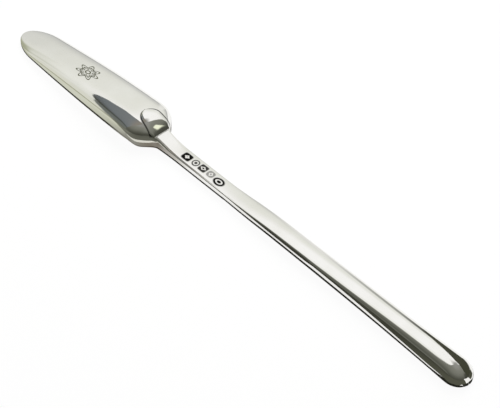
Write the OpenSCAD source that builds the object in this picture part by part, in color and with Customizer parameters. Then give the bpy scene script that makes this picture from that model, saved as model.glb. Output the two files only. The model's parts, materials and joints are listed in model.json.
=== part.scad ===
// Silver marrow scoop: a wide scoop and a narrow scoop at the two ends of a slim stem.
// It lies on its face, with both backs up and both hollows down, along the X axis.
// The origin is under the middle of the scoop, on the surface that it lies on.

/* [Wide scoop] */
// Length from the tip to the widest place, at the heel
wide_len = 70; // [60:0.5:80]
// Width at the heel
wide_w = 20; // [17:0.1:24]
// Width that the sides taper to at the tip, before the end is rounded
wide_tip_w = 13; // [10:0.1:16]
// Length of the rounded end
wide_tip_len = 12.6; // [8:0.1:18]
// Rise of the back above the lip at the heel
wide_crown = 5.9; // [4:0.1:8]
// Height of the lip of the heel above the tip's lip
wide_lift = 2.2; // [0.5:0.1:3]

/* [Heel] */
// Length of the shoulders, from the widest place to the neck
shoulder_len = 12.7; // [10:0.1:16]
// Length past the widest place where the back is still level
heel_level = 2; // [0:0.1:4]
// Length past the widest place where the lip is still thin
arch_start = 3; // [1:0.1:4]
// Length over which the thin lip thickens into the stem
arch_len = 5; // [3:0.1:7]
// Length over which the lip's upper edge comes down to the stem's sides
lip_fall = 3; // [2:0.1:5]
// Length of the drop, from its round end to the crease on the neck
drop_len = 9.8; // [7:0.1:12]
// Distance from the crease of the drop to the neck
drop_back = 1.1; // [0.6:0.1:2]
// Width of the drop's top
drop_w = 6.8; // [5.5:0.1:8]
// Width that the drop's foot would spread to at the crease
drop_foot_w = 9.4; // [7:0.1:11]
// Step of the drop's round end above the back
drop_rise = 0.6; // [0.3:0.05:1]
// Length of the drop's round end
drop_round = 3.6; // [2:0.1:5]
// Film of solder under the drop
solder = 0.03; // [0.02:0.01:0.06]

/* [Stem] */
// Length of the bar between the two scoops
stem_len = 35.3; // [28:0.1:48]
// Width of the bar where it is thin
stem_w = 6; // [5:0.1:7.5]
// Width of the bar at the neck
neck_w = 6.9; // [6:0.1:8]
// Height of the bar's upright sides
stem_side = 2.6; // [2:0.05:3.2]
// Rise of the bar's soft top above its sides
stem_crown = 0.5; // [0.2:0.05:0.8]
// Height of the bar at the crease of the drop
neck_h = 4.8; // [3.6:0.1:6]
// Length over which the bar thins from the crease
thin_len = 12; // [9:0.5:20]

/* [Narrow scoop] */
// Length from the stem to the tip
narrow_len = 112; // [95:0.5:125]
// Width near the tip
narrow_w = 10.7; // [9:0.1:13]
// Width where the scoop has grown out of the bar
narrow_root_w = 7.3; // [6.4:0.1:8.4]
// Length of the rounded end
narrow_tip_len = 6.2; // [4:0.1:8]
// Height above the lip's foot that the back grows to at the tip, before the nose
narrow_h = 6.9; // [5.8:0.1:8.2]
// Length over which the back falls to the lip at the tip
narrow_nose = 8.4; // [5:0.1:12]
// Rise of the lip above the stem's underside where the scoop begins
narrow_lift = 1; // [0.2:0.1:2]
// Length over which the bar widens and lifts into the scoop
run_out = 26; // [18:0.5:34]
// Share of the narrow scoop along which its sides stay as high as the bar's
side_keep = 0.5; // [0.3:0.01:0.55]

/* [Walls] */
// Height of the lip's upright edge
lip = 1.1; // [0.8:0.05:1.5]
// Thickness of the walls
wall = 1.1; // [0.8:0.05:1.5]
// Distance from the widest place to the end of the wide hollow
wide_hollow_end = 6.4; // [4:0.1:9]
// Length of the wide hollow's round heel end
wide_hollow_round = 13; // [8:0.1:20]
// Distance from the stem to the start of the narrow hollow
narrow_hollow_start = 12; // [8:0.1:18]
// Length over which the narrow hollow deepens
narrow_hollow_round = 20; // [12:0.1:30]

/* [Hidden] */

// Stations along the axis
x_tip = -(wide_len + shoulder_len + stem_len + narrow_len)/2;
x_wide = x_tip + wide_len;
x_neck = x_wide + shoulder_len;
x_root = x_neck + stem_len;
x_end = x_root + narrow_len;
x_crease = x_neck - drop_back;
x_drop = x_crease - drop_len;
x_fall = x_wide + heel_level;
x_wide_hollow = x_wide + wide_hollow_end;
x_narrow_hollow = x_root + narrow_hollow_start;

// Flat left at the very end of a tip
tip_flat = 0.03;

// How square the top is along the wide scoop, at the neck and along the bar, where 2 is
// an ellipse, and the length over which the back of the heel turns as square as the neck
wide_square = 3.6;
neck_square = 10;
bar_square = 2.4;
square_len = 4;

// How square the roof of the wide hollow is
hollow_square = 2.6;

// Share of the narrow scoop over which its sides come down to the lip
side_fade = 0.42;

// How late the shoulders come in, the back comes down and the narrow scoop widens
shoulder_bend = 1.7;
heel_bend = 2.7;
narrow_bend = 3.2;

// Thin end of the drop at its crease, its rounded arris and its sideways camber
drop_toe = 0.15;
drop_arris = 0.2;
drop_camber = 0.3;

// Share of the neck that the drop may cover, and the least spread of its foot
drop_cover = 0.9;
drop_edge = 0.1;

// Steps round the back, round the hollow and along each stretch
back_n = 28;
hollow_n = 16;
tip_n = 10;
wide_n = 17;
narrow_n = 20;
end_n = 9;
neck_n = 10;
stem_n = 8;
bar_n = 6;
drop_n = 18;
drop_across = 14;
drop_flank = 3;

silver = [0.80, 0.81, 0.79];

function clamp(t) = max(0, min(1, t));
function ease(t) = let (c = clamp(t)) c*c*(3 - 2*c);
function mix(a, b, t) = a + (b - a)*t;
function soft(t) = 1 - pow(1 - clamp(t), 2);
function round_end(d, r) = let (v = 1 - clamp(d/r)) sqrt(max(0, 1 - v*v));
function flatten(lists) = [for (l = lists) each l];

// Share of the way from the wide tip to the heel, and from the stem to the narrow tip
function along_wide(x) = clamp((x - x_tip)/wide_len);
function along_narrow(x) = clamp((x - x_root)/narrow_len);

// How far the bar has thinned, and its width
function thin(x) = soft((x - x_crease)/thin_len);
function bar_w(x) = mix(neck_w, stem_w, thin(x));

// Half width of the two scoops before their ends are rounded
function wide_half(x) =
    x < x_wide ? mix(wide_tip_w, wide_w, 1 - pow(1 - along_wide(x), 1.6))/2
    : mix(wide_w, bar_w(x), ease(pow(clamp((x - x_wide)/shoulder_len), shoulder_bend)))/2;
function narrow_half(x) =
    (mix(stem_w, narrow_root_w, soft((x - x_root)/run_out))
        + (narrow_w - narrow_root_w)*pow(along_narrow(x), narrow_bend))/2;
function half_w(x) =
    x < x_neck ? wide_half(x)*round_end(x - x_tip, wide_tip_len)
    : x < x_root ? bar_w(x)/2
    : narrow_half(x)*round_end(x_end - x, narrow_tip_len);

// Height of the lip's underside: an arch under each scoop, the surface under the stem
function foot_z(x) =
    x < x_neck ? wide_lift*along_wide(x)*(1 - ease((x - x_wide - arch_start)/arch_len))
    : narrow_lift*ease((x - x_root)/run_out)*(1 - along_narrow(x));

// Height of the lip's upper edge, which runs into the top of the stem's sides
function lip_z(x) =
    x < x_neck ? mix(lip + wide_lift*along_wide(x), stem_side, ease((x - x_neck + lip_fall)/lip_fall))
    : foot_z(x) + mix(stem_side, lip, ease((along_narrow(x) - side_keep)/side_fade));

// Height along the middle of the back: the wide scoop, the bar and the narrow scoop
function wide_z(x) =
    let (u = along_wide(x), t = clamp((x - x_fall)/(x_crease - x_fall)))
    mix(lip + wide_lift*u + wide_crown*u*(2 - u), neck_h, pow(t, heel_bend));
function bar_z(x) = mix(neck_h, stem_side + stem_crown, thin(x));
function narrow_z(x) =
    let (top = foot_z(x) + mix(stem_side + stem_crown, narrow_h, along_narrow(x)))
    lip_z(x) + (top - lip_z(x))*round_end(x_end - x, narrow_nose);
function crown(x) = (x < x_crease ? wide_z(x) : x < x_root ? bar_z(x) : narrow_z(x)) - lip_z(x);

// Squareness of the back's section
function square(x) =
    x < x_crease ? mix(wide_square, neck_square, ease((x - x_crease + square_len)/square_len))
    : x < x_root ? mix(neck_square, bar_square, ease((x - x_crease)/thin_len))
    : mix(bar_square, 2, ease((x - x_root)/run_out));

// Height of the back over a point
function back_z(x, y) =
    let (v = min(1, abs(y)/half_w(x)))
    lip_z(x) + crown(x)*sqrt(1 - pow(v, square(x)));

// Section of the back from the right foot of the lip to the left one
function ring(x) =
    let (w = half_w(x), p = square(x))
    concat(
        [[x, w, foot_z(x)]],
        [for (i = [0:back_n])
            let (a = 180*i/back_n, c = cos(a))
            [x, w*sign(c)*pow(abs(c), 2/p), lip_z(x) + crown(x)*sin(a)]],
        [[x, -w, foot_z(x)]]);

// How far each hollow is open at a station: 0 at its ends, 1 where it is full
function wide_open(x) =
    round_end(x - x_tip - wall, wide_tip_len - wall)*round_end(x_wide_hollow - x, wide_hollow_round);
function narrow_open(x) =
    round_end(x_end - wall - x, narrow_tip_len - wall)*round_end(x - x_narrow_hollow, narrow_hollow_round);

// Section of the hollow under the back
function core(x) =
    let (open = x < x_neck ? wide_open(x) : narrow_open(x),
         w = (x < x_neck ? wide_half(x) : narrow_half(x)) - wall,
         q = x < x_neck ? hollow_square : 2,
         h = max(0.1, lip_z(x) + crown(x) - wall - foot_z(x)))
    [for (i = [0:hollow_n])
        let (a = 180*i/hollow_n, c = cos(a))
        [x, w*open*sign(c)*pow(abs(c), 2/q), foot_z(x) + h*open*sin(a)]];

// Solid through a row of stations, hollow underneath from station a to station b
module scoop(xs, a, b) {
    n = len(xs);
    m = back_n + 3;
    k = hollow_n + 1;
    tip_a = n*m + (b - a - 1)*k;
    tip_b = tip_a + 1;
    function r(i, j) = i*m + j;
    function c(i, j) = i == a ? tip_a : i == b ? tip_b : n*m + (i - a - 1)*k + j;
    points = concat(
        flatten([for (x = xs) ring(x)]),
        flatten([for (i = [a + 1:b - 1]) core(xs[i])]),
        [[xs[a], 0, foot_z(xs[a])], [xs[b], 0, foot_z(xs[b])]]);
    back = flatten([for (i = [0:n - 2], j = [0:m - 2])
        j < (m - 1)/2
            ? [[r(i, j), r(i + 1, j), r(i + 1, j + 1)], [r(i, j), r(i + 1, j + 1), r(i, j + 1)]]
            : [[r(i, j), r(i + 1, j), r(i, j + 1)], [r(i + 1, j), r(i + 1, j + 1), r(i, j + 1)]]]);
    roof = flatten([for (i = [a + 1:b - 2], j = [0:k - 2])
        [[c(i, j), c(i, j + 1), c(i + 1, j + 1)], [c(i, j), c(i + 1, j + 1), c(i + 1, j)]]]);
    roof_ends = flatten([for (j = [0:k - 2])
        [[tip_a, c(a + 1, j + 1), c(a + 1, j)], [c(b - 1, j), c(b - 1, j + 1), tip_b]]]);
    rims = flatten([for (i = [a:b - 1])
        flatten([
            i == a ? [] : [[r(i, 0), c(i, 0), r(i + 1, 0)], [c(i, k - 1), r(i, m - 1), r(i + 1, m - 1)]],
            i == a ? [[r(i, 0), tip_a, r(i + 1, 0)], [tip_a, r(i, m - 1), r(i + 1, m - 1)]] : [],
            [[c(i, 0), c(i + 1, 0), r(i + 1, 0)], [c(i, k - 1), r(i + 1, m - 1), c(i + 1, k - 1)]]])]);
    solid = flatten([for (i = [0:n - 2]) if (i < a - 1 || i > b)
        [[r(i, 0), r(i, m - 1), r(i + 1, m - 1)], [r(i, 0), r(i + 1, m - 1), r(i + 1, 0)]]]);
    solid_ends = [
        [r(a - 1, 0), r(a - 1, m - 1), tip_a],
        [r(a - 1, m - 1), r(a, m - 1), tip_a],
        [r(a - 1, 0), tip_a, r(a, 0)],
        [r(b, 0), tip_b, r(b + 1, 0)],
        [tip_b, r(b, m - 1), r(b + 1, m - 1)],
        [tip_b, r(b + 1, m - 1), r(b + 1, 0)]];
    ends = [[for (j = [0:m - 1]) r(0, j)], [for (j = [0:m - 1]) r(n - 1, m - 1 - j)]];
    polyhedron(points, concat(back, roof, roof_ends, rims, solid, solid_ends, ends), convexity = 6);
}

// Wide scoop: tapered back with a rounded tip, shoulders and a short neck
module wide_scoop() {
    first = x_tip + wall;
    body = x_tip + wide_tip_len;
    last = x_wide_hollow - wide_hollow_round;
    xs = concat(
        [for (i = [0:3]) x_tip + mix(tip_flat, wall, pow(i/3, 2))],
        [for (i = [1:tip_n]) first + (body - first)*(1 - cos(90*i/tip_n))],
        [for (i = [1:wide_n]) mix(body, last, i/wide_n)],
        [for (i = [1:end_n]) last + wide_hollow_round*sin(90*i/end_n)],
        [for (i = [1:neck_n]) mix(x_wide_hollow, x_crease, i/neck_n)],
        [mix(x_crease, x_neck, 0.5), x_neck]);
    color(silver)
        scoop(xs, 3, 3 + tip_n + wide_n + end_n);
}

// Drop: a tongue that laps over the heel of the wide scoop and spreads to its foot.
// Its round end is a low step on the back, and its slope meets the neck in a straight crease.
module drop() {
    top_a = back_z(x_drop, 0) + drop_rise;
    top_b = neck_h + drop_toe;
    xs = concat(
        [for (i = [0:6]) x_drop + mix(tip_flat, drop_round, 1 - cos(90*i/6))],
        [for (i = [1:drop_n - 6]) mix(x_drop + drop_round, x_crease, i/(drop_n - 6))]);
    function part(x) = (x - x_drop)/drop_len;
    function half(x, w) = min(w/2*round_end(x - x_drop, drop_round), drop_cover*half_w(x));
    function foot(x) = max(half(x, drop_w) + drop_edge, half(x, mix(drop_w, drop_foot_w, part(x))));
    function under(x, y) = back_z(x, y) + solder;
    function top(x, v) =
        let (s = part(x),
             arris = drop_arris*(1 - s)*pow(abs(v), 12),
             camber = drop_camber*(1 - pow(s, 4))*v*v)
        max(under(x, v*half(x, drop_w)) + drop_toe, mix(top_a, top_b, pow(s, heel_bend)) - camber - arris);
    // Places across a station: the top's, and those that go on down each flank to the foot
    function ys(x) =
        let (t = half(x, drop_w), f = foot(x))
        concat(
            [for (k = [0:drop_flank - 1]) mix(f, t, k/drop_flank)],
            [for (j = [0:drop_across]) t*cos(180*j/drop_across)],
            [for (k = [1:drop_flank]) -mix(t, f, k/drop_flank)]);
    function skin_z(x, y) =
        let (t = half(x, drop_w), f = foot(x), v = min(1, abs(y)/t))
        under(x, y) + (top(x, v) - under(x, t*v))*clamp((f - abs(y))/(f - t));
    q = drop_across + 2*drop_flank;
    m = 2*q;
    n = len(xs);
    function r(i, j) = i*m + j%m;
    points = flatten([for (x = xs) let (row = ys(x)) concat(
        [for (j = [0:q]) [x, row[j], skin_z(x, row[j])]],
        [for (j = [1:q - 1]) [x, row[q - j], under(x, row[q - j])]])]);
    skin = flatten([for (i = [0:n - 2], j = [0:m - 1])
        [[r(i, j), r(i + 1, j), r(i + 1, j + 1)], [r(i, j), r(i + 1, j + 1), r(i, j + 1)]]]);
    // Each end is a strip from the top to the underside, place by place
    strip = flatten([for (j = [0:q - 1]) concat(
        j < q - 1 ? [[j, j + 1, m - j - 1]] : [],
        j > 0 ? [[j, m - j - 1, m - j]] : [])]);
    ends = flatten([for (t = strip)
        [[for (j = t) r(0, j)], [for (k = [2:-1:0]) r(n - 1, t[k])]]]);
    color(silver)
        polyhedron(points, concat(skin, ends), convexity = 4);
}

// Stem: a bar with upright sides and a softly rounded top, thicker towards the neck
module stem() {
    x_thin = x_crease + thin_len;
    xs = concat(
        [for (i = [0:stem_n]) mix(x_neck, x_thin, i/stem_n)],
        [for (i = [1:bar_n]) mix(x_thin, x_root, i/bar_n)]);
    m = back_n + 3;
    n = len(xs);
    function r(i, j) = i*m + j%m;
    skin = flatten([for (i = [0:n - 2], j = [0:m - 1])
        [[r(i, j), r(i + 1, j), r(i + 1, j + 1)], [r(i, j), r(i + 1, j + 1), r(i, j + 1)]]]);
    ends = [[for (j = [0:m - 1]) r(0, j)], [for (j = [0:m - 1]) r(n - 1, m - 1 - j)]];
    color(silver)
        polyhedron(flatten([for (x = xs) ring(x)]), concat(skin, ends), convexity = 2);
}

// Narrow scoop: the bar swells into a long gouge that widens to a rounded tip
module narrow_scoop() {
    full = x_narrow_hollow + narrow_hollow_round;
    body = x_end - narrow_tip_len;
    last = x_end - wall;
    xs = concat(
        [for (i = [0:3]) mix(x_root, x_narrow_hollow, i/3)],
        [for (i = [1:end_n]) full - narrow_hollow_round*cos(90*i/end_n)],
        [for (i = [1:narrow_n]) mix(full, body, i/narrow_n)],
        [for (i = [1:tip_n]) body + (last - body)*sin(90*i/tip_n)],
        [for (i = [1:3]) x_end - mix(wall, tip_flat, 1 - pow(1 - i/3, 2))]);
    color(silver)
        scoop(xs, 3, 3 + end_n + narrow_n + tip_n);
}

wide_scoop();
drop();
stem();
narrow_scoop();
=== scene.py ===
import json
import math

import bpy
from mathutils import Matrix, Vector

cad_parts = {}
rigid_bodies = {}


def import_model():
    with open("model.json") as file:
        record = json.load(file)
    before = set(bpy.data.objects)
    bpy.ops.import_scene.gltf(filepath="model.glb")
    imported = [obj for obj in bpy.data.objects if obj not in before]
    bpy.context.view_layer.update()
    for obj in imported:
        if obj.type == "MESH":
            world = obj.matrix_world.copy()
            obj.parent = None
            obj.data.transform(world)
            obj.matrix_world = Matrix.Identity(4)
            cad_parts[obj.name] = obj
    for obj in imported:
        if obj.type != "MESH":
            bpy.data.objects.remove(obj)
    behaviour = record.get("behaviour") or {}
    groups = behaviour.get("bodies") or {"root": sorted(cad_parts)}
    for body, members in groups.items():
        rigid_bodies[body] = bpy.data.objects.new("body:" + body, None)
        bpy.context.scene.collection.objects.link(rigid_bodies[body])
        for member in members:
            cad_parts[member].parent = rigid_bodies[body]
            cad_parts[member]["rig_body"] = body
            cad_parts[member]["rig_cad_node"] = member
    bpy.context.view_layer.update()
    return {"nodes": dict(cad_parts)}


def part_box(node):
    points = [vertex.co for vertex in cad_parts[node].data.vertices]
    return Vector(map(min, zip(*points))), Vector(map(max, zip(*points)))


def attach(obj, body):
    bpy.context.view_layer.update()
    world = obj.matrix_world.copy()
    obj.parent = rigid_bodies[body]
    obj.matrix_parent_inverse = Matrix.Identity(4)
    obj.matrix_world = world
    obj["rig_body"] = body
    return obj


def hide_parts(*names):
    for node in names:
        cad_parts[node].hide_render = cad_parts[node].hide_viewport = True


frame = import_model()

# The wrought bar: both scoops and the stem are one piece of sterling silver, hammered out from
# a bar, filed and polished. It is smoothed here as one skin, so that the light runs through the
# neck and the root without a break, and it is then parted there into its three named pieces.
MM = 0.001
neck_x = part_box("stem")[0].x
root_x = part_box("stem")[1].x


def select_only(o):
    bpy.ops.object.select_all(action="DESELECT")
    o.select_set(True)
    bpy.context.view_layer.objects.active = o


def merge_points():
    same_point = 0.0005 * MM
    bpy.ops.mesh.select_all(action="SELECT")
    bpy.ops.mesh.remove_doubles(threshold=same_point)


def pair_triangles():
    bpy.ops.mesh.tris_convert_to_quads(face_threshold=math.radians(50), shape_threshold=math.radians(60))


def copy_of_solids(names):
    # One loose copy of the named solids, merged and in edit mode
    bpy.ops.object.select_all(action="DESELECT")
    for name in names:
        frame["nodes"][name].select_set(True)
    bpy.context.view_layer.objects.active = frame["nodes"][names[0]]
    bpy.ops.object.duplicate()
    copies = list(bpy.context.selected_objects)
    for o in copies:
        o.parent = None
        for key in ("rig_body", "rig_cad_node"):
            del o[key]
        o.data.materials.clear()
    bpy.context.view_layer.objects.active = copies[0]
    if len(copies) > 1:
        bpy.ops.object.join()
    bpy.ops.object.mode_set(mode="EDIT")
    merge_points()
    bpy.ops.mesh.select_mode(type="FACE")
    return bpy.context.view_layer.objects.active


def choose(o, kind, test):
    # Selects the edges or polygons that pass the test, and nothing else
    bpy.ops.object.mode_set(mode="OBJECT")
    mesh = o.data
    for group in (mesh.vertices, mesh.edges, mesh.polygons):
        for item in group:
            item.select = False
    for item in getattr(mesh, kind):
        item.select = bool(test(item))
    bpy.ops.object.mode_set(mode="EDIT")


def smooth_skin(o):
    bpy.ops.object.mode_set(mode="OBJECT")
    smooth = o.modifiers.new("smooth", "SUBSURF")
    smooth.levels = smooth.render_levels = 2
    bpy.ops.object.modifier_apply(modifier=smooth.name)
    bpy.ops.object.shade_smooth_by_angle(angle=math.radians(65))


def between_pieces(f):
    # The inner faces where the stem meets the scoops
    off_plane = 0.002 * MM
    gap = min(abs(f.center.x - neck_x), abs(f.center.x - root_x))
    return abs(f.normal.x) > 0.99 and gap < off_plane


bar = copy_of_solids(["stem", "wide_scoop", "narrow_scoop"])
choose(bar, "polygons", between_pieces)
bpy.ops.mesh.delete(type="FACE")
merge_points()
pair_triangles()

# The filed edges along the bar are worn round: the lines that crowd beside them are taken out
worn_start_x = neck_x - 0.1 * MM
worn_end_x = root_x + 46 * MM
worn_low, worn_high = 0.05, 0.36
bpy.ops.object.mode_set(mode="OBJECT")
rings = {}
for v in bar.data.vertices:
    rings.setdefault(round(v.co.x, 5), []).append(v.co)
side_and_top = {}
for x, ring in rings.items():
    upright_y = max(c.y for c in ring) - 0.001 * MM
    side_z = max(c.z for c in ring if abs(c.y) > upright_y)
    side_and_top[x] = (side_z, max(c.z for c in ring))


def beside_edge(v):
    # Low on the round back, just over the top of the upright side
    side, top = side_and_top[round(v.co.x, 5)]
    worn = worn_start_x < v.co.x < worn_end_x
    return worn and worn_low < (v.co.z - side) / (top - side) < worn_high


def crowds(e):
    a, b = [bar.data.vertices[i] for i in e.vertices]
    lengthwise = 0.2 * MM
    return abs(a.co.x - b.co.x) > lengthwise and beside_edge(a) and beside_edge(b)


worn_turn = math.radians(42)
worn_crease = 0.3
choose(bar, "edges", crowds)
bpy.ops.mesh.select_mode(type="EDGE")
bpy.ops.mesh.dissolve_edges(use_verts=True)
bpy.ops.mesh.select_all(action="DESELECT")
bpy.ops.mesh.edges_select_sharp(sharpness=worn_turn)
bpy.ops.transform.edge_crease(value=worn_crease)
bpy.ops.mesh.select_mode(type="FACE")

# The foot keeps its edge, where it is level and where the lip comes down to the neck. A narrow
# strip inside that edge holds it in place under the heel and along the stem.
heel_x = neck_x - 9.5 * MM
heel_foot_z = 2.3 * MM
strip_width = 0.6 * MM
foot_crease = 0.6
level_down, slope_down = -0.97, -0.6


def under_bar(f):
    return f.normal.z < slope_down and f.center.z < heel_foot_z and heel_x < f.center.x < root_x


def faces_down(f):
    return f.normal.z < level_down or under_bar(f)


choose(bar, "polygons", under_bar)
bpy.ops.mesh.inset(thickness=strip_width)
choose(bar, "polygons", faces_down)
bpy.ops.mesh.region_to_loop()
bpy.ops.transform.edge_crease(value=foot_crease)
smooth_skin(bar)
bpy.ops.object.duplicate()
whole_bar = bpy.context.view_layer.objects.active


def part_off(x, side, name):
    # Cuts across the bar, and makes a piece of what lies on that side of the cut
    select_only(bar)
    bpy.ops.object.mode_set(mode="EDIT")
    bpy.ops.mesh.select_mode(type="FACE")
    bpy.ops.mesh.select_all(action="SELECT")
    bpy.ops.mesh.bisect(plane_co=(x, 0, 0), plane_no=(1, 0, 0))
    choose(bar, "polygons", lambda f: (f.center.x - x) * side > 0)
    bpy.ops.mesh.separate(type="SELECTED")
    bpy.ops.object.mode_set(mode="OBJECT")
    piece = [p for p in bpy.context.selected_objects if p != bar][0]
    piece.name = piece.data.name = name
    return piece


wide_scoop = part_off(neck_x, -1, "wide_scoop_silver")
narrow_scoop = part_off(root_x, 1, "narrow_scoop_silver")
stem = bar
stem.name = stem.data.name = "stem_silver"


def close_ends(o):
    # The cut ends keep the whole bar's normals round their edge, and are then filled flat
    select_only(o)
    same = o.modifiers.new("normals", "DATA_TRANSFER")
    same.object = whole_bar
    same.use_loop_data = True
    same.data_types_loops = {"CUSTOM_NORMAL"}
    same.loop_mapping = "POLYINTERP_NEAREST"
    bpy.ops.object.modifier_apply(modifier=same.name)
    bpy.ops.object.mode_set(mode="EDIT")
    bpy.ops.mesh.select_mode(type="EDGE")
    bpy.ops.mesh.select_all(action="DESELECT")
    bpy.ops.mesh.select_non_manifold()
    bpy.ops.mesh.fill_holes(sides=0)
    bpy.ops.mesh.mark_sharp()
    bpy.ops.object.mode_set(mode="OBJECT")


for piece in (wide_scoop, stem, narrow_scoop):
    close_ends(piece)
bpy.data.objects.remove(whole_bar)


# Wide scoop: a tapered gouge with a round tip and square shoulders, for the wide bones. It is
# hammered into shape and polished, and its back carries a small engraved flower.
def linear(hex_colour):
    channels = [int(hex_colour[i:i + 2], 16) / 255 for i in (1, 3, 5)]
    return [c / 12.92 if c <= 0.04045 else ((c + 0.055) / 1.055) ** 2.4 for c in channels] + [1]


def add(tree, kind, settings=None, inputs=None, stops=None):
    # Adds a node, with its settings, its values or links, and the stops of its colour ramp
    n = tree.nodes.new(kind)
    for key, value in (settings or {}).items():
        setattr(n, key, value)
    for key, value in (inputs or {}).items():
        if isinstance(value, bpy.types.NodeSocket):
            tree.links.new(value, n.inputs[key])
        else:
            n.inputs[key].default_value = value
    if stops:
        marks = n.color_ramp.elements
        marks.remove(marks[1])
        marks[0].position, marks[0].color = stops[0][0], linear(stops[0][1])
        for spot, hex_colour in stops[1:]:
            marks.new(spot).color = linear(hex_colour)
    return n


def polished_silver(name):
    # Polished sterling silver: a bright mirror with a faint warm cast, clouded a little by
    # handling, with hair-fine scratches along it and a slow wave left by the hammer. Dirt and
    # tarnish stay in every cut or struck line, and the seam round the drop is darker.
    cloud_size, scratch_size, hammer_size = 9 * MM, 0.35 * MM, 14 * MM
    m = bpy.data.materials.new(name)
    m.use_nodes = True
    t = m.node_tree
    shader = t.nodes["Principled BSDF"]
    place = add(t, "ShaderNodeTexCoord").outputs["Object"]
    cloud = add(t, "ShaderNodeTexNoise", None, {"Vector": place, "Scale": 1 / cloud_size, "Detail": 3})
    long_way = add(t, "ShaderNodeMapping", None, {"Vector": place, "Scale": (0.06, 1, 1)})
    scratch = add(t, "ShaderNodeTexNoise", None,
                  {"Vector": long_way.outputs["Vector"], "Scale": 1 / scratch_size, "Detail": 2})
    wave = add(t, "ShaderNodeTexNoise", None, {"Vector": place, "Scale": 1 / hammer_size, "Detail": 1})
    tone = add(t, "ShaderNodeMix", {"data_type": "RGBA"},
               {"Factor": cloud.outputs["Fac"], "A": linear("#F8F7F5"), "B": linear("#ECEBE5")})
    gloss = add(t, "ShaderNodeMapRange", None,
                {"Value": cloud.outputs["Fac"], "From Min": 0.3, "From Max": 0.75,
                 "To Min": 0.035, "To Max": 0.08})
    slow = add(t, "ShaderNodeBump", None,
               {"Height": wave.outputs["Fac"], "Strength": 0.5, "Distance": 0.03 * MM})
    fine = add(t, "ShaderNodeBump", None,
               {"Height": scratch.outputs["Fac"], "Strength": 0.15, "Distance": 0.004 * MM,
                "Normal": slow.outputs["Normal"]})
    shader.inputs["Metallic"].default_value = 1
    t.links.new(tone.outputs["Result"], shader.inputs["Base Color"])
    t.links.new(gloss.outputs["Result"], shader.inputs["Roughness"])
    t.links.new(fine.outputs["Normal"], shader.inputs["Normal"])
    return m


def tarnish(m, mask, hex_colour, depth):
    # Darkens and dulls the silver where the mask is 1, and sinks it by the depth
    dull = 0.4
    t = m.node_tree
    shader = t.nodes["Principled BSDF"]
    clean, smooth, skin = [shader.inputs[socket].links[0].from_socket
                           for socket in ("Base Color", "Roughness", "Normal")]
    tone = add(t, "ShaderNodeMix", {"data_type": "RGBA"},
               {"Factor": mask, "A": clean, "B": linear(hex_colour)})
    gloss = add(t, "ShaderNodeMix", {"data_type": "FLOAT"}, {"Factor": mask, "A": smooth, "B": dull})
    t.links.new(tone.outputs["Result"], shader.inputs["Base Color"])
    t.links.new(gloss.outputs["Result"], shader.inputs["Roughness"])
    if depth:
        sunk = add(t, "ShaderNodeBump", {"invert": True},
                   {"Height": mask, "Strength": 1, "Distance": depth, "Normal": skin})
        t.links.new(sunk.outputs["Normal"], shader.inputs["Normal"])


def seam_distance(o):
    # How far each point lies from the line where the drop's foot meets the heel, seen from above.
    # Near the neck a little is added, so that the dark line along the seam thins out there.
    far_off, before, beyond = 1, 3 * MM, 2 * MM
    thin_len, thin_share = 1.6 * MM, 0.3
    foot = {}
    for v in frame["nodes"]["drop"].data.vertices:
        x = round(v.co.x, 6)
        foot[x] = max(foot.get(x, 0), v.co.y)
    line = sorted(foot.items())
    first_x, last_x = line[0][0], line[-1][0]
    line = [(first_x, 0)] + line
    values = []
    for v in o.data.vertices:
        px, py, best = v.co.x, abs(v.co.y), far_off
        if v.normal.z > 0 and first_x - before < px < last_x + beyond:
            for (ax, ay), (bx, by) in zip(line, line[1:]):
                dx, dy = bx - ax, by - ay
                k = max(0, min(1, ((px - ax) * dx + (py - ay) * dy) / (dx * dx + dy * dy)))
                best = min(best, math.hypot(px - ax - k * dx, py - ay - k * dy))
            best += thin_share * max(0, px - last_x + thin_len)
        values.append(best)
    o.data.attributes.new("seam", "FLOAT", "POINT").data.foreach_set("value", values)


def darken_along_seam(m, width):
    # Darker and duller along the seam where the drop meets the heel, fading out over the width
    t = m.node_tree
    away = add(t, "ShaderNodeAttribute", {"attribute_name": "seam"}).outputs["Fac"]
    mask = add(t, "ShaderNodeMapRange", {"interpolation_type": "SMOOTHSTEP"},
               {"Value": away, "From Min": 0.3 * width, "From Max": width, "To Min": 1, "To Max": 0})
    tarnish(m, mask.outputs["Result"], "#1E1D18", 0)


def oval(t, centre, half, power):
    # 1 on the edge of a rounded shape, less inside it: power 2 is an oval, 6 is nearly a box.
    # The centre and the half sizes are in millimetres.
    place = add(t, "ShaderNodeTexCoord").outputs["Object"]
    local = add(t, "ShaderNodeMapping", {"vector_type": "TEXTURE"},
                {"Vector": place, "Location": (centre[0] * MM, centre[1] * MM, 0),
                 "Scale": (half[0] * MM, half[1] * MM, 1)})
    size = add(t, "ShaderNodeVectorMath", {"operation": "ABSOLUTE"}, {0: local.outputs["Vector"]})
    axes = add(t, "ShaderNodeSeparateXYZ", None, {0: size.outputs[0]})
    u = add(t, "ShaderNodeMath", {"operation": "POWER"}, {0: axes.outputs["X"], 1: power})
    v = add(t, "ShaderNodeMath", {"operation": "POWER"}, {0: axes.outputs["Y"], 1: power})
    both = add(t, "ShaderNodeMath", {"operation": "ADD"}, {0: u.outputs[0], 1: v.outputs[0]})
    reach = add(t, "ShaderNodeMath", {"operation": "POWER"}, {0: both.outputs[0], 1: 1 / power})
    return reach.outputs[0], local.outputs["Vector"]


def band(t, value, middle, width):
    # A soft line where the value is near the middle one
    off = add(t, "ShaderNodeMath", {"operation": "SUBTRACT"}, {0: value, 1: middle})
    gap = add(t, "ShaderNodeMath", {"operation": "ABSOLUTE"}, {0: off.outputs[0]})
    return add(t, "ShaderNodeMapRange", {"interpolation_type": "SMOOTHSTEP"},
               {"Value": gap.outputs[0], "From Min": 0.4 * width, "From Max": width,
                "To Min": 1, "To Max": 0}).outputs["Result"]


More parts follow.
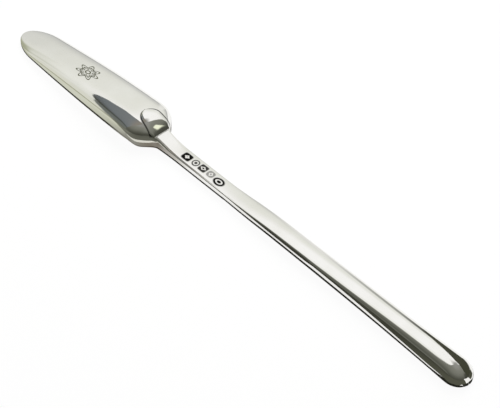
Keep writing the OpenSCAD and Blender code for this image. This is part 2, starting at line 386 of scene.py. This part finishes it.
def on_the_back(t, mask):
    # The mask on the faces that look up, and nothing in the hollow underneath
    facing = add(t, "ShaderNodeTexCoord").outputs["Normal"]
    up = add(t, "ShaderNodeSeparateXYZ", None, {0: facing}).outputs["Z"]
    upper = add(t, "ShaderNodeMapRange", None, {"Value": up, "From Min": 0.1, "From Max": 0.3})
    both = add(t, "ShaderNodeMath", {"operation": "MULTIPLY"}, {0: mask, 1: upper.outputs["Result"]})
    return both.outputs[0]


def join_lines(t, masks):
    whole = masks[0]
    for mask in masks[1:]:
        whole = add(t, "ShaderNodeMath", {"operation": "MAXIMUM"}, {0: whole, 1: mask}).outputs[0]
    return whole


def rosette(m, centre, half):
    # A plain engraved flower: petals, a ring of inner ones, an eye and fine rays, cut with a graver
    petal_count, ray_count = 7, 21
    petal_r, petal_swing, petal_line = 0.78, 0.2, 0.09
    inner_r, inner_swing, inner_line = 0.52, 0.16, 0.075
    eye_r, eye_line = 0.2, 0.08
    ray_width, ray_length, shade = 0.5, 0.22, 0.95
    t = m.node_tree
    r, local = oval(t, centre, half, 2)
    axes = add(t, "ShaderNodeSeparateXYZ", None, {0: local})
    turn = add(t, "ShaderNodeMath", {"operation": "ARCTAN2"},
               {0: axes.outputs["Y"], 1: axes.outputs["X"]})

    def swing(count, size, middle):
        # A value that swings about the middle one as many times in a turn
        a = add(t, "ShaderNodeMath", {"operation": "MULTIPLY"}, {0: turn.outputs[0], 1: count})
        c = add(t, "ShaderNodeMath", {"operation": "COSINE"}, {0: a.outputs[0]})
        whole = add(t, "ShaderNodeMath", {"operation": "MULTIPLY_ADD"},
                    {0: c.outputs[0], 1: size, 2: middle})
        return whole.outputs[0]

    petals = add(t, "ShaderNodeMath", {"operation": "SUBTRACT"},
                 {0: r, 1: swing(petal_count, petal_swing, petal_r)})
    inner = add(t, "ShaderNodeMath", {"operation": "SUBTRACT"},
                {0: r, 1: swing(petal_count, inner_swing, inner_r)})
    rays = add(t, "ShaderNodeMath", {"operation": "MULTIPLY"},
               {0: band(t, swing(ray_count, 1, 0), 1, ray_width), 1: band(t, r, inner_r, ray_length)})
    lines = [band(t, petals.outputs[0], 0, petal_line), band(t, inner.outputs[0], 0, inner_line),
             band(t, r, eye_r, eye_line), rays.outputs[0]]
    soft = add(t, "ShaderNodeMath", {"operation": "MULTIPLY"}, {0: join_lines(t, lines), 1: shade})
    tarnish(m, on_the_back(t, soft.outputs[0]), "#5C5E44", 0.03 * MM)


seam_distance(wide_scoop)
wide_silver = polished_silver("polished_sterling_wide")
darken_along_seam(wide_silver, 0.5 * MM)
rosette(wide_silver, centre=(-75, -0.6), half=(5.6, 3.6))
wide_scoop.data.materials.append(wide_silver)
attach(wide_scoop, "root")
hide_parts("wide_scoop")

# Drop: a tongue of silver that laps over the heel and strengthens the neck. It is forged or
# soldered on, with a low step round its end and a straight crease where its slope meets the neck.
drop_turn = math.radians(60)
drop = copy_of_solids(["drop"])
drop.name = drop.data.name = "drop_silver"
pair_triangles()
bpy.ops.mesh.select_mode(type="EDGE")
bpy.ops.mesh.select_all(action="DESELECT")
bpy.ops.mesh.edges_select_sharp(sharpness=drop_turn)
bpy.ops.transform.edge_crease(value=1)
smooth_skin(drop)
seam_distance(drop)
drop_silver = polished_silver("polished_sterling_drop")
darken_along_seam(drop_silver, 0.3 * MM)
drop.data.materials.append(drop_silver)
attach(drop, "root")
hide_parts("drop")

# Stem: the slim bar between the scoops, filed square with a softened top, thick at the neck.
# Five small punches were struck into its top in a row.
stem_silver = polished_silver("polished_sterling_stem")


def struck(centre, half, power, dark, motif_share, motif_power, ring, ring_width):
    # A punch mark: a sunk field, black with old dirt, and a plain raised ring left bright in it
    t = stem_silver.node_tree
    motif_half = (half[0] * motif_share[0], half[1] * motif_share[1])
    edge = oval(t, centre, half, power)[0]
    motif = oval(t, centre, motif_half, motif_power)[0]
    field = add(t, "ShaderNodeMapRange", {"interpolation_type": "SMOOTHSTEP"},
                {"Value": edge, "From Min": 0.8, "From Max": 1.05, "To Min": 1, "To Max": 0})
    raised = band(t, motif, ring, ring_width)
    sunk = add(t, "ShaderNodeMath", {"operation": "SUBTRACT", "use_clamp": True},
               {0: field.outputs["Result"], 1: raised})
    soft = add(t, "ShaderNodeMath", {"operation": "MULTIPLY"}, {0: sunk.outputs[0], 1: dark})
    tarnish(stem_silver, on_the_back(t, soft.outputs[0]), "#100F0C", 0.05 * MM)


struck(centre=(-19.7, -0.2), half=(2.2, 1.8), power=5, dark=1.0,
       motif_share=(0.62, 0.62), motif_power=1, ring=0.5, ring_width=0.5)
struck(centre=(-15.3, 0), half=(1.7, 1.7), power=2, dark=0.9,
       motif_share=(0.8, 0.8), motif_power=2, ring=0.62, ring_width=0.26)
struck(centre=(-11.5, 0.15), half=(1.9, 1.75), power=6, dark=0.95,
       motif_share=(0.95, 0.7), motif_power=1, ring=0.55, ring_width=0.3)
struck(centre=(-7.5, 0.15), half=(1.75, 1.6), power=3, dark=0.6,
       motif_share=(0.75, 0.9), motif_power=1, ring=0.55, ring_width=0.32)
struck(centre=(-2.8, -0.3), half=(2.7, 1.9), power=2, dark=1.0,
       motif_share=(0.62, 0.55), motif_power=2, ring=0.75, ring_width=0.3)
stem.data.materials.append(stem_silver)
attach(stem, "root")
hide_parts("stem")

# Narrow scoop: a long gouge for the narrow bones, drawn down from the end of the bar and
# hollowed underneath, with the same polish as the rest.
narrow_scoop.data.materials.append(polished_silver("polished_sterling_narrow"))
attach(narrow_scoop, "root")
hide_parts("narrow_scoop")

# Studio floor: a white table top that the scoop lies on. The camera and the silver see it as
# clean white with a faint soft shadow.
floor_size = 8
clean_share = 0.94
bpy.ops.object.select_all(action="DESELECT")
bpy.ops.mesh.primitive_plane_add(size=floor_size)
floor = bpy.context.object
floor.name = floor.data.name = "studio_floor"
paper = bpy.data.materials.new("white_paper_floor")
paper.use_nodes = True
t = paper.node_tree
t.nodes.clear()
path = add(t, "ShaderNodeLightPath")
matt = add(t, "ShaderNodeBsdfDiffuse", None, {"Color": linear("#F4F4F4")})
glow = add(t, "ShaderNodeEmission", None, {"Color": linear("#FFFFFF"), "Strength": 1})
seen = add(t, "ShaderNodeMath", {"operation": "MAXIMUM"},
           {0: path.outputs["Is Camera Ray"], 1: path.outputs["Is Glossy Ray"]})
share = add(t, "ShaderNodeMath", {"operation": "MULTIPLY"}, {0: seen.outputs[0], 1: clean_share})
both = add(t, "ShaderNodeMixShader", None,
           {0: share.outputs[0], 1: matt.outputs[0], 2: glow.outputs[0]})
add(t, "ShaderNodeOutputMaterial", None, {"Surface": both.outputs[0]})
floor.data.materials.append(paper)

# Studio surround: a pale backdrop behind and over the scoop, the dark of the room on the camera's
# side, and one small lamp. A height here is the sine of the angle above the table.
world = bpy.data.worlds.new("studio")
bpy.context.scene.world = world
world.use_nodes = True
t = world.node_tree
t.nodes.clear()
path = add(t, "ShaderNodeLightPath")
way = add(t, "ShaderNodeTexCoord").outputs["Generated"]
height = add(t, "ShaderNodeSeparateXYZ", None, {0: way}).outputs["Z"]
level = add(t, "ShaderNodeVectorMath", {"operation": "MULTIPLY"}, {0: way, 1: (1, 1, 0)})
flat = add(t, "ShaderNodeVectorMath", {"operation": "NORMALIZE"}, {0: level.outputs[0]}).outputs[0]


def towards(az, el=0):
    a, e = math.radians(az), math.radians(el)
    return (math.cos(e) * math.cos(a), math.cos(e) * math.sin(a), math.sin(e))


def near_to(az, start, full):
    # 1 close to that bearing, and 0 well away from it, by the cosine of the angle between
    near = add(t, "ShaderNodeVectorMath", {"operation": "DOT_PRODUCT"}, {0: flat, 1: towards(az)})
    return add(t, "ShaderNodeMapRange", {"interpolation_type": "SMOOTHSTEP"},
               {"Value": near.outputs["Value"], "From Min": start, "From Max": full}).outputs["Result"]


def by_height(start, full, low, high):
    # A share that goes from the low value to the high one between two heights
    return add(t, "ShaderNodeMapRange", {"interpolation_type": "SMOOTHSTEP"},
               {"Value": height, "From Min": start, "From Max": full,
                "To Min": low, "To Max": high}).outputs["Result"]


def over(base, mask, share, hex_colour):
    # Lays a colour over the base where the mask is, by a share
    part = add(t, "ShaderNodeMath", {"operation": "MULTIPLY"}, {0: mask, 1: share})
    return add(t, "ShaderNodeMix", {"data_type": "RGBA"},
               {"Factor": part.outputs[0], "A": base, "B": linear(hex_colour)}).outputs["Result"]


# The backdrop ends a little earlier towards the camera's left where it is low
behind = add(t, "ShaderNodeVectorMath", {"operation": "DOT_PRODUCT"}, {0: flat, 1: towards(148)})
short = add(t, "ShaderNodeMath", {"operation": "ADD"},
            {0: behind.outputs["Value"], 1: by_height(0.48, 0.62, -0.12, 0)})
backdrop = add(t, "ShaderNodeMapRange", {"interpolation_type": "SMOOTHSTEP"},
               {"Value": short.outputs[0], "From Min": 0, "From Max": 0.06})
right = near_to(32, 0.8, 0.95)
far_side = near_to(115, 0.984, 0.997)
left = near_to(184, 0.92, 0.985)
near_left = near_to(220, 0.75, 0.95)
strip = near_to(34.5, 0.9968, 0.9992)
room_tones = [(0, "#4A4B43"), (0.17, "#53544C"), (0.3, "#5E5F57"), (0.45, "#6A6B63"),
              (0.57, "#74756D"), (0.72, "#7C7D75"), (0.86, "#82837B"), (0.99, "#949490")]
pale_tones = [(0, "#7E7F7E"), (0.04, "#A6A7A6"), (0.12, "#C6C7C6"), (0.32, "#D7D8D4"),
              (0.45, "#E6E7E2"), (0.64, "#EEEFEA"), (0.71, "#F5F5F3"), (0.8, "#FFFFFF"),
              (0.935, "#FFFFFF"), (0.965, "#C8C8C6"), (0.99, "#989894")]
room = add(t, "ShaderNodeValToRGB", None, {"Fac": height}, room_tones)
pale = add(t, "ShaderNodeValToRGB", None, {"Fac": height}, pale_tones)
dim = over(room.outputs["Color"], right, by_height(0.45, 0.7, 0.8, 0), "#3E3F38")
dim = over(dim, near_left, by_height(0.05, 0.25, 0.8, 0), "#6E7068")
tinted = over(pale.outputs["Color"], far_side, by_height(0.5, 0.65, 0.75, 0), "#F4F4F2")
tinted = over(tinted, near_left, by_height(0.25, 0.55, 0.85, 0), "#E2E3D7")
tinted = over(tinted, left, by_height(0.44, 0.62, 0.8, 0), "#9EA284")
walls = add(t, "ShaderNodeMix", {"data_type": "RGBA"},
            {"Factor": backdrop.outputs["Result"], "A": dim, "B": tinted})
tall = add(t, "ShaderNodeMath", {"operation": "MULTIPLY"},
           {0: by_height(0.5, 0.58, 0, 1), 1: by_height(0.71, 0.77, 1, 0)})
shine = over(walls.outputs["Result"], strip, tall.outputs[0], "#FBFFE6")
shown = add(t, "ShaderNodeBackground", None, {"Color": shine, "Strength": 1})
white = add(t, "ShaderNodeBackground", None, {"Color": linear("#FFFFFF"), "Strength": 1})
pick = add(t, "ShaderNodeMixShader", None,
           {0: path.outputs["Is Camera Ray"], 1: shown.outputs[0], 2: white.outputs[0]})
add(t, "ShaderNodeOutputWorld", None, {"Surface": pick.outputs[0]})

lamp_az, lamp_el, lamp_reach = 115, 40, 0.7
bpy.ops.object.light_add(type="AREA", location=[lamp_reach * c for c in towards(lamp_az, lamp_el)])
lamp = bpy.context.object
lamp.name = "key_softbox"
lamp.rotation_euler = (math.radians(90 - lamp_el), 0, math.radians(lamp_az + 90))
lamp.data.shape = "DISK"
lamp.data.size = 0.5
lamp.data.energy = 6
lamp.visible_glossy = False


# Flags: cards that only the silver sees. One is over the heel, two stand beside the narrow scoop,
# and the rest lie on the table: painted shadow on its near side and round the heel, its dark part
# beyond the tip, its olive and bright parts, and the painted shadow line at the foot of the silver.
# Their places are in millimetres.
def flag(name, corners, tones, faces=None):
    # A card with these corners, whose tones run along x
    mesh = bpy.data.meshes.new(name)
    mesh.from_pydata([[c * MM for c in p] for p in corners], [], faces or [list(range(len(corners)))])
    o = bpy.data.objects.new(name, mesh)
    bpy.context.scene.collection.objects.link(o)
    m = bpy.data.materials.new(name + "_card")
    m.use_nodes = True
    tree = m.node_tree
    tree.nodes.clear()
    place = add(tree, "ShaderNodeTexCoord").outputs["Object"]
    x = add(tree, "ShaderNodeSeparateXYZ", None, {0: place}).outputs["X"]
    first, last = tones[0][0], tones[-1][0]
    along = add(tree, "ShaderNodeMapRange", None,
                {"Value": x, "From Min": first * MM, "From Max": last * MM})
    colour = add(tree, "ShaderNodeValToRGB", None, {"Fac": along.outputs["Result"]},
                 [((spot - first) / (last - first), hex_colour) for spot, hex_colour in tones])
    glow = add(tree, "ShaderNodeEmission", None, {"Color": colour.outputs["Color"], "Strength": 1})
    add(tree, "ShaderNodeOutputMaterial", None, {"Surface": glow.outputs[0]})
    mesh.materials.append(m)
    o.visible_camera = o.visible_diffuse = o.visible_shadow = o.visible_transmission = False


def lying(z, outline):
    return [(x, y, z) for x, y in outline]


def standing(y, outline):
    return [(x, y, z) for x, z in outline]


flag("heel_flag",
     lying(60, [(-36, -2), (-63, 5), (-93, 10), (-108, 0), (-115, -11), (-136, -62), (-250, -216),
                (-470, -486), (-320, -505), (-90, -100), (-50, -34), (-39, -12)]),
     [(-300, "#707470"), (-145, "#6C716E"), (-128, "#40423A"), (-119, "#5E6264"), (-108, "#70767A"),
      (-76, "#7A7E80"), (-50, "#8A857D")])
flag("tip_flag",
     standing(40, [(75, 8), (220, 8), (220, 120), (75, 120)]),
     [(75, "#45463A"), (220, "#404234")])
flag("side_flag",
     standing(40, [(22, 12), (75, 10), (75, 34), (22, 26)]),
     [(22, "#ECECE9"), (45, "#B4B5B0"), (62, "#A0A19C"), (75, "#55564F")])
# Painted shadow: a dark card over the near side of the table, where shade falls, seen only in the silver
flag("table_shadow_flag",
     lying(0.05, [(-116, -90), (-65, -33), (-56, -26), (-45, -20), (-35, -10.5), (-33, -8),
                  (-29, -6.5), (0, -6), (100, -6), (108, -6.4), (112.5, -5.5), (115.5, -3),
                  (116, -1), (4500, -300), (4500, -4500), (-3350, -4000)]),
     [(-140, "#787C6E"), (-60, "#787970"), (-30, "#62635A"), (0, "#40403A"), (40, "#3A3A32"),
      (85, "#404138"), (112, "#55564A")])
flag("table_far",
     lying(0.05, [(117, 3), (4500, 2050), (1500, 4500), (116, 7.5)]),
     [(116, "#4C4D40"), (500, "#55554E")])
# Painted shadow: this card turns grey and brown round the heel, where the bowl shades the table
flag("table_left",
     lying(0.04, [(-18, -2), (-30, -2), (-36, -5), (-40, -8), (-46, -9.5), (-75, -8.5), (-100, -6),
                  (-112, -3), (-115, 0), (-4500, 700), (-4500, -4500), (-18, -4500)]),
     [(-122, "#9C9E84"), (-110, "#C4C6B2"), (-95, "#D6D8CA"), (-75, "#D6D8CA"), (-60, "#C8CABA"),
      (-50, "#B4B5AA"), (-45, "#979790"), (-38, "#91918A"), (-36, "#8A867D"), (-34, "#807A70"),
      (-32.5, "#8C8780"), (-30, "#ABA7A2"), (-25, "#C4C1BC"), (-18, "#F4F4F2")])
# A paler strip at the edge of that painted shadow, which the heel's lip shows as a bright line
flag("table_rim",
     lying(0.046, [(-46.5, -19), (-40, -13), (-36, -9.5), (-33.5, -7), (-31, -6), (-30, -7),
                   (-33, -8.2), (-35, -11), (-39, -14.5), (-45.5, -20.5)]),
     [(-47, "#C9C9C2"), (-40, "#E2E2DB"), (-30, "#E8E6DE")])


def share_past(x, start, length):
    return max(0, min(1, (x - start) / length))


def shadow_width(x):
    # A little wider past the heel, and wide round the narrow tip
    return 0.35 + 0.25 * share_past(x, -50, 14) + 1.2 * share_past(x, 104, 6)


# The shadow line follows the foot of the silver on both sides, and closes round the narrow tip
under_foot = 0.4
shadow_z = 0.045
foot = {}
for name in ("wide_scoop", "stem", "narrow_scoop"):
    for v in frame["nodes"][name].data.vertices:
        x = round(v.co.x, 6)
        y, z = foot.get(x, (0, 1))
        foot[x] = (max(y, v.co.y), min(z, v.co.z))
outline = [(x / MM, y / MM, (y + z) / MM + shadow_width(x / MM)) for x, (y, z) in sorted(foot.items())]
outline += [(115.7, under_foot, 3.2), (116.5, under_foot, 1.2)]
corners = [(x, side * y, shadow_z) for side in (-1, 1)
           for x, near, far in outline for y in (near - under_foot, far)]
half = len(corners) // 2
faces = [[k + i, k + i + 1, k + i + 3, k + i + 2] for k in (0, half) for i in range(0, half - 2, 2)]
flag("shadow_line", corners,
     [(-116, "#34342C"), (-55, "#3C3C34"), (-48, "#83827A"), (-40, "#85817A"), (-36, "#665F56"),
      (-33, "#463F36"), (-29, "#2A2A24"), (117, "#262620")], faces)

# Camera: at the photograph's angle, looking down on the back from the stem's right. It has a long
# lens, and a small shift that frames the scoop as the photograph does.
camera = bpy.data.objects.new("camera", bpy.data.cameras.new("camera"))
bpy.context.scene.collection.objects.link(camera)
turn, rise, reach = math.radians(48.1), math.radians(45), 0.6
camera.location = (reach * math.sin(turn) * math.cos(rise),
                   -reach * math.cos(turn) * math.cos(rise), reach * math.sin(rise))
camera.rotation_euler = (math.pi / 2 - rise, 0, turn)
camera.data.lens = 123.65
camera.data.sensor_width = 36
camera.data.shift_x, camera.data.shift_y = 0.0503, -0.024
camera.data.clip_start = 0.01
bpy.context.scene.camera = camera
bpy.context.scene.view_settings.view_transform = "Standard"

bpy.context.view_layer.update()
